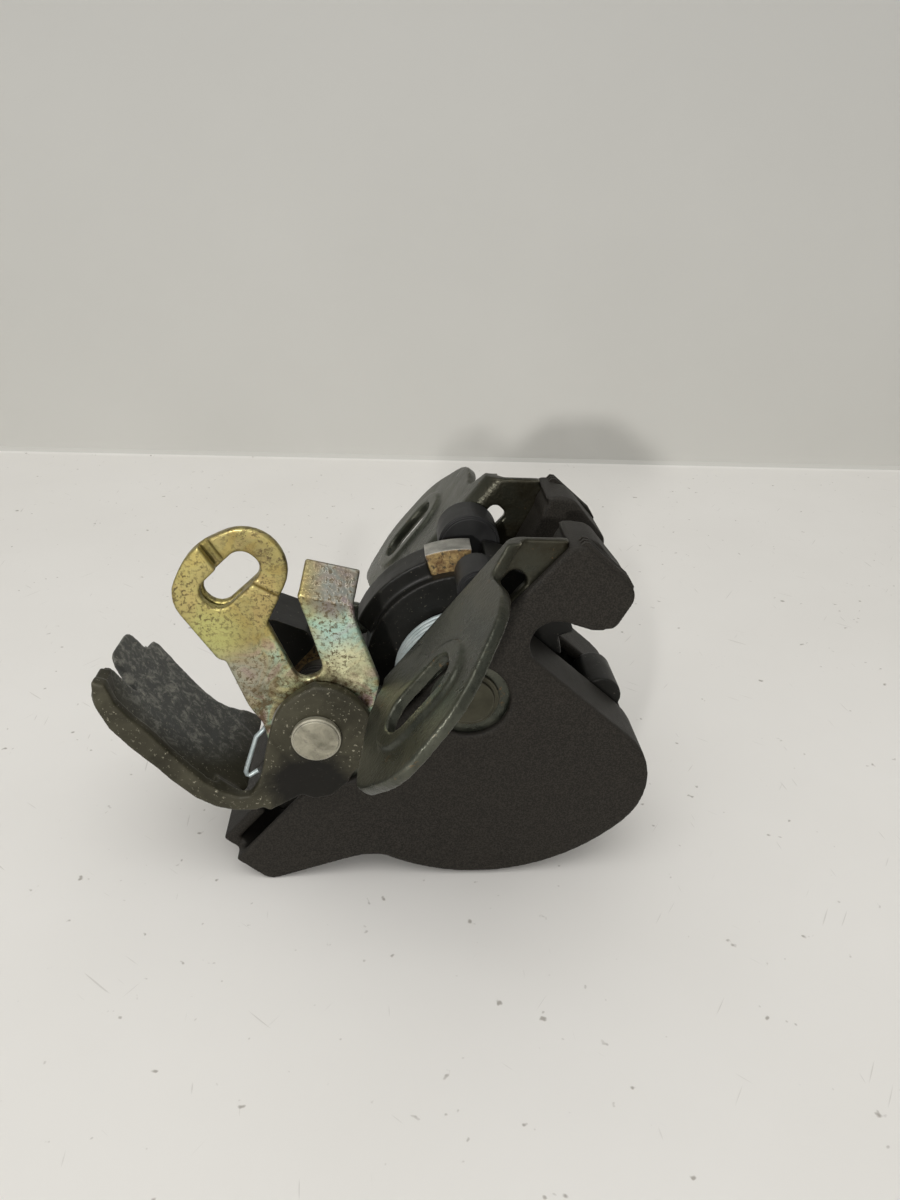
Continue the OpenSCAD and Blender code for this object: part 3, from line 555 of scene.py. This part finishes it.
# The pawl pivot: one long rivet, with its flat head on the near side dulled and
# scratched by tools. Spacer tubes keep the pawl in the middle of it, a thin washer
# parts the levers, and two plain posts hold the plates apart.
rivet_dull, rivet_light, rivet_edge = (0.125, 0.117, 0.085), (0.36, 0.34, 0.26), (0.72, 0.70, 0.66)
rivet_fleck = (0.13, 0.115, 0.095)
plain_dull, plain_light = (0.17, 0.165, 0.145), (0.30, 0.29, 0.265)
rivet_steel, tree, surface = shader("rivet_steel")
cloud = grain(tree, 210.0, 5.0, 0.65, 0.5)
tone = paint(tree, span(tree, cloud, 0.32, 0.68), rivet_dull, rivet_light)
flecks = span(tree, grain(tree, 1000.0, 3.0, 0.7), 0.58, 0.68)
tone = paint(tree, times(tree, flecks, 0.6), tone, rivet_fleck)
tone = paint(tree, worn_edge(tree, 0.35), tone, rivet_edge)
tree.links.new(tone, surface.inputs["Base Color"])
surface.inputs["Metallic"].default_value = 0.35
surface.inputs["Roughness"].default_value = 0.45
bump(tree, surface, cloud, 0.4, 0.00025)
piece = bevelled("pawl_pivot", rivet_steel, "case", bevel=0.18)
plain_steel, tree, surface = shader("plain_steel")
tone = paint(tree, span(tree, grain(tree, 180.0, 5.0, 0.6), 0.35, 0.65), plain_dull, plain_light)
tree.links.new(tone, surface.inputs["Base Color"])
surface.inputs["Metallic"].default_value = 0.6
surface.inputs["Roughness"].default_value = 0.42
for name, bevel in (("pawl_near_spacer", 0.0), ("pawl_far_spacer", 0.0), ("lever_washer", 0.12),
                    ("lower_post", 0.12), ("heel_post", 0.12)):
    piece = bevelled(name, plain_steel, "case", bevel)

# The pawl: the steel catch that holds the claw shut, with a plastic sleeve moulded
# over its tail. Both are finished like the claw and its cover.
piece = bevelled("pawl", bare_steel, "pawl_arm", bevel=0.25)
piece = bevelled("pawl_cover", cover, "pawl_arm", bevel=0.4)

# The two small springs on the pawl pivot: 1 mm wire. The near one ends in a hook that
# lies behind the release lever's round plate and shows in the notch beside it.
small_wire, small_radius, small_depth, small_pitch = 1.0, 6.4, 7.2, 1.15
hook = [(-7.0, -6.6, 13.4), (-7.1, -7.3, 14.6), (-7.0, -8.0, 17.8), (-7.0, -8.6, 18.3),
        (-7.1, -10.8, 18.3), (-4.0, -18.0, 18.3), (-3.5, -19.0, 18.3), (-2.9, -19.4, 18.3),
        (-2.3, -19.2, 18.3), (-1.8, -17.0, 18.3)]
turns = coil(pawl_middle, small_radius, small_depth, small_pitch, turns=4,
             angle=math.radians(200), side=-1)
first, last = turns[0], turns[-1]
first_leg, last_leg = (first[0] - 7, first[1] - 4, first[2]), (last[0] + 2, last[1] - 7, last[2])
wound("pawl_spring", [first_leg] + turns + [last_leg], small_wire, plated_wire, sides=10)
turns = coil(pawl_middle, small_radius, small_depth, small_pitch, turns=4.5,
             angle=math.radians(20), way=-1)
first = turns[0]
first_leg = (first[0] + 2, first[1] - 7, first[2])
hooked = [(pawl_middle[0] + a, pawl_middle[1] + b, c) for a, b, c in hook]
wound("release_spring", [first_leg] + turns + hooked, small_wire, plated_wire, sides=10)

# The eye lever: 1.8 mm steel in yellow zinc plate that plays green and pink, peppered
# with dark specks and brown with grime round the pivot. A second layer lies behind the
# eye, and a slit parts the eye's two halves.
zinc_dull, zinc_pink = (0.30, 0.25, 0.17), (0.40, 0.30, 0.27)
zinc_play = ((0.41, (0.44, 0.42, 0.22)), (0.49, (0.33, 0.50, 0.38)),
             (0.56, (0.55, 0.56, 0.40)), (0.63, (0.46, 0.33, 0.34)))
# Patches of colour at given places: the first three are tints of the plating, the fourth is
# painted shade on the bent-back tab, and the fifth is a painted highlight at the tab's foot.
zinc_tints_and_painted_light = (((-38, -24, 20), 4.5, 10.5, 0.80, (0.285, 0.245, 0.190)),
               ((-27, -17, 20), 3.0, 8.5, 0.70, (0.42, 0.40, 0.20)),
               ((-29, -5.5, 20), 2.5, 6.5, 0.75, (0.40, 0.56, 0.50)),
               ((-36.5, 1.5, 18), 5.5, 7.5, 0.80, (0.185, 0.160, 0.160)),
               ((-23.0, -9.5, 20), 3.5, 7.0, 0.80, (0.72, 0.68, 0.42)))
gold_dark, gold_light = (0.235, 0.175, 0.055), (0.42, 0.345, 0.115)
neck_olive, pepper_brown = (0.43, 0.43, 0.16), (0.105, 0.078, 0.038)
grime_brown, zinc_bright = (0.085, 0.052, 0.022), (0.74, 0.68, 0.45)


def rounded(corners):
    steps = 6
    line = []
    for k, (x, y, r) in enumerate(corners):
        here = Vector((x, y))
        back = (Vector(corners[k - 1][:2]) - here).normalized()
        on = (Vector(corners[(k + 1) % len(corners)][:2]) - here).normalized()
        half = back.angle(on) / 2
        middle = here + (back + on).normalized() * (r / math.sin(half))
        ends = [here + way * (r / math.tan(half)) - middle for way in (back, on)]
        for step in range(steps + 1):
            spoke = ends[0].lerp(ends[1], step / steps).normalized() * r
            line.append(tuple(middle + spoke))
    return line


back_ring = (rounded([(-57.4, -19.8, 7), (-41.2, -24.4, 2), (-40.6, -13.0, 2), (-43.8, -1.4, 8),
                      (-54.7, 2.7, 7.5), (-60.0, -9.8, 12)]), 16.9, 18.4)
back_hole = (rounded([(-54.4, -15.5, 2.7), (-48.6, -15.5, 2.7), (-47.3, -3.7, 2.7),
                      (-53.4, -3.7, 2.7)]), 16.0, 18.5)
eye_slit = ([(-62.0, -5.0), (-50.0, -8.6), (-50.0, -10.3), (-62.0, -6.7)], 18.45, 22.0)
zinc, tree, surface = shader("yellow_zinc")
near_eye = patch(tree, (-51, -9.6, 20), 12.5, 17.5)
cloud = grain(tree, 95.0, 5.0, 0.6, 0.8)
hues = node(tree, "ShaderNodeValToRGB", {"Fac": grain(tree, 130.0, 2.0, 0.5, 1.6)})
ramp = hues.color_ramp
ramp.elements[0].position = 0.30
ramp.elements[0].color = (*zinc_dull, 1)
ramp.elements[1].position = 0.72
ramp.elements[1].color = (*zinc_pink, 1)
for at, colour in zinc_play:
    ramp.elements.new(at).color = (*colour, 1)
gold = paint(tree, span(tree, cloud, 0.34, 0.66), gold_dark, gold_light)
tone = hues.outputs["Color"]
for centre, inner, outer, share, colour in zinc_tints_and_painted_light:
    tone = paint(tree, times(tree, patch(tree, centre, inner, outer), share), tone, colour)
tone = paint(tree, times(tree, near_eye, 0.9), tone, gold)
neck = patch(tree, (-47, -20.5, 20), 3.0, 7.5)
tone = paint(tree, times(tree, neck, 0.75), tone, neck_olive)
pepper = span(tree, grain(tree, 1250.0, 4.0, 0.75), 0.50, 0.575)
thick = span(tree, grain(tree, 170.0, 4.0, 0.6), 0.40, 0.62, 0.35, 0.95)
tone = paint(tree, times(tree, pepper, thick), tone, pepper_brown)
grime = times(tree, patch(tree, (*pawl_middle, 20), 11.5, 18.5),
              span(tree, grain(tree, 380.0, 5.0, 0.7), 0.40, 0.58))
tone = paint(tree, times(tree, grime, 0.9), tone, grime_brown)
tone = paint(tree, times(tree, worn_edge(tree, 0.45), 0.55), tone, zinc_bright)
tree.links.new(tone, surface.inputs["Base Color"])
surface.inputs["Metallic"].default_value = 0.85
tree.links.new(span(tree, cloud, 0.3, 0.7, 0.26, 0.42), surface.inputs["Roughness"])
bump(tree, surface, pepper, 0.25, 0.0001)
piece = softened("eye_lever", zinc, "eye_arm", grid=0.25, rounds=14, more=[back_ring],
                 less=[back_hole, eye_slit])

# The release lever: 2.5 mm steel in black-olive paint, worn through along its edges
# and fingers, with dry dust near the rim and a glossy black patch just below the pivot.
# Its pull is bent back under the case, and a notch parts it from the round plate.
olive_dark, olive_light = (0.022, 0.020, 0.012), (0.056, 0.052, 0.034)
pull_painted_reflection, pull_scraped = (0.088, 0.092, 0.090), (0.30, 0.295, 0.255)
olive_dust, olive_worn = (0.33, 0.31, 0.235), (0.36, 0.335, 0.25)
black_below_pivot = (0.0045, 0.004, 0.0032)
outer = [(-58.4, -41.2), (-56.2, -43.9), (-51.3, -46.6), (-46.2, -48.0), (-40.5, -49.1),
         (-34.6, -50.2), (-28.0, -50.7), (-23.4, -49.9), (-19.5, -47.9), (-16.9, -45.3),
         (-15.5, -42.3), (-14.5, -39.0), (-13.6, -36.9), (-9.8, -35.9), (-7.6, -33.0),
         (-7.2, -28.5), (-8.6, -23.5)]
inner = [(-27.6, -26.2), (-26.2, -29.4), (-24.2, -33.2), (-22.0, -37.0), (-20.6, -40.4),
         (-20.1, -43.4), (-21.6, -45.0), (-24.3, -46.1), (-28.4, -46.6), (-33.2, -46.0),
         (-39.0, -44.9), (-44.3, -43.8), (-48.4, -43.4), (-52.3, -42.5), (-56.0, -40.2)]
front = (outer + [pawl_middle] + inner, 21.3, 23.8)
heel = ([(-36.0, 0.0), (-37.0, -6.6), (-34.1, -6.4), (-30.5, -6.2), (-28.0, -6.8),
         (-25.4, -8.3), (-22.6, -10.2), (-20.6, -10.8), (-19.2, -10.4), (-18.8, -9.0),
         (-19.0, 0.0)], -50.1, -47.7, True)
tip = ([(-58.0, -41.8), (-56.2, -40.6), (-53.0, -43.8), (-56.6, -44.6)], 17.0, 21.4)
notch = (inner[:10] + [(-36.0, -40.0), (-36.0, -14.0), (-27.6, -13.4), (-26.7, -15.8),
                       (-28.0, -19.6), (-28.3, -23.0)], 14.0, 26.0)
end_notch = ([(-20.8, -46.9), (-16.5, -46.9), (-16.5, -30.0), (-20.8, -30.0)], 11.0, 21.25)
square_hole = ([(-20.9, -25.7), (-17.1, -25.7), (-17.1, -21.9), (-20.9, -21.9)], 20.0, 25.0)
olive, tree, surface = shader("olive_paint")
cloud = grain(tree, 85.0, 6.0, 0.65, 0.7)
tone = paint(tree, span(tree, cloud, 0.34, 0.66), olive_dark, olive_light)
on_pull = patch(tree, (-42, -48, -3), 16, 24)
scraped = span(tree, grain(tree, 420.0, 6.0, 0.78, 0.5), 0.49, 0.64)
# Painted reflection: the pull is painted a lighter blue-grey, the sky's reflection put into its
# colour; the scraped flecks over it are wear.
tone = paint(tree, times(tree, on_pull, 0.75), tone, pull_painted_reflection)
tone = paint(tree, times(tree, times(tree, on_pull, scraped), 0.8), tone, pull_scraped)
dust = span(tree, grain(tree, 1500.0, 3.0, 0.7), 0.625, 0.70)
tone = paint(tree, times(tree, dust, 0.75), tone, olive_dust)
# A black patch with a ragged edge just below the pivot, glossier than the paint around it.
dark_below_pivot = patch(tree, (-11.5, -33.5, 24), 8.0, 12.5, ragged=span(tree, cloud, 0.3, 0.7, 0.0, 0.004))
tone = paint(tree, times(tree, dark_below_pivot, 0.95), tone, black_below_pivot)
worn = times(tree, worn_edge(tree, 0.7), span(tree, grain(tree, 300.0, 4.0, 0.7), 0.38, 0.56))
tone = paint(tree, times(tree, worn, 0.9), tone, olive_worn)
tree.links.new(tone, surface.inputs["Base Color"])
surface.inputs["Metallic"].default_value = 0.15
surface.inputs["Specular IOR Level"].default_value = 0.2
tree.links.new(span(tree, dark_below_pivot, 0.0, 1.0, 0.44, 0.34), surface.inputs["Roughness"])
bump(tree, surface, grain(tree, 800.0, 4.0, 0.7), 0.3, 0.00012)
piece = softened("release_lever", olive, "release_arm", grid=0.3, rounds=16,
                 more=[front, heel, tip], less=[notch, end_notch, square_hole])
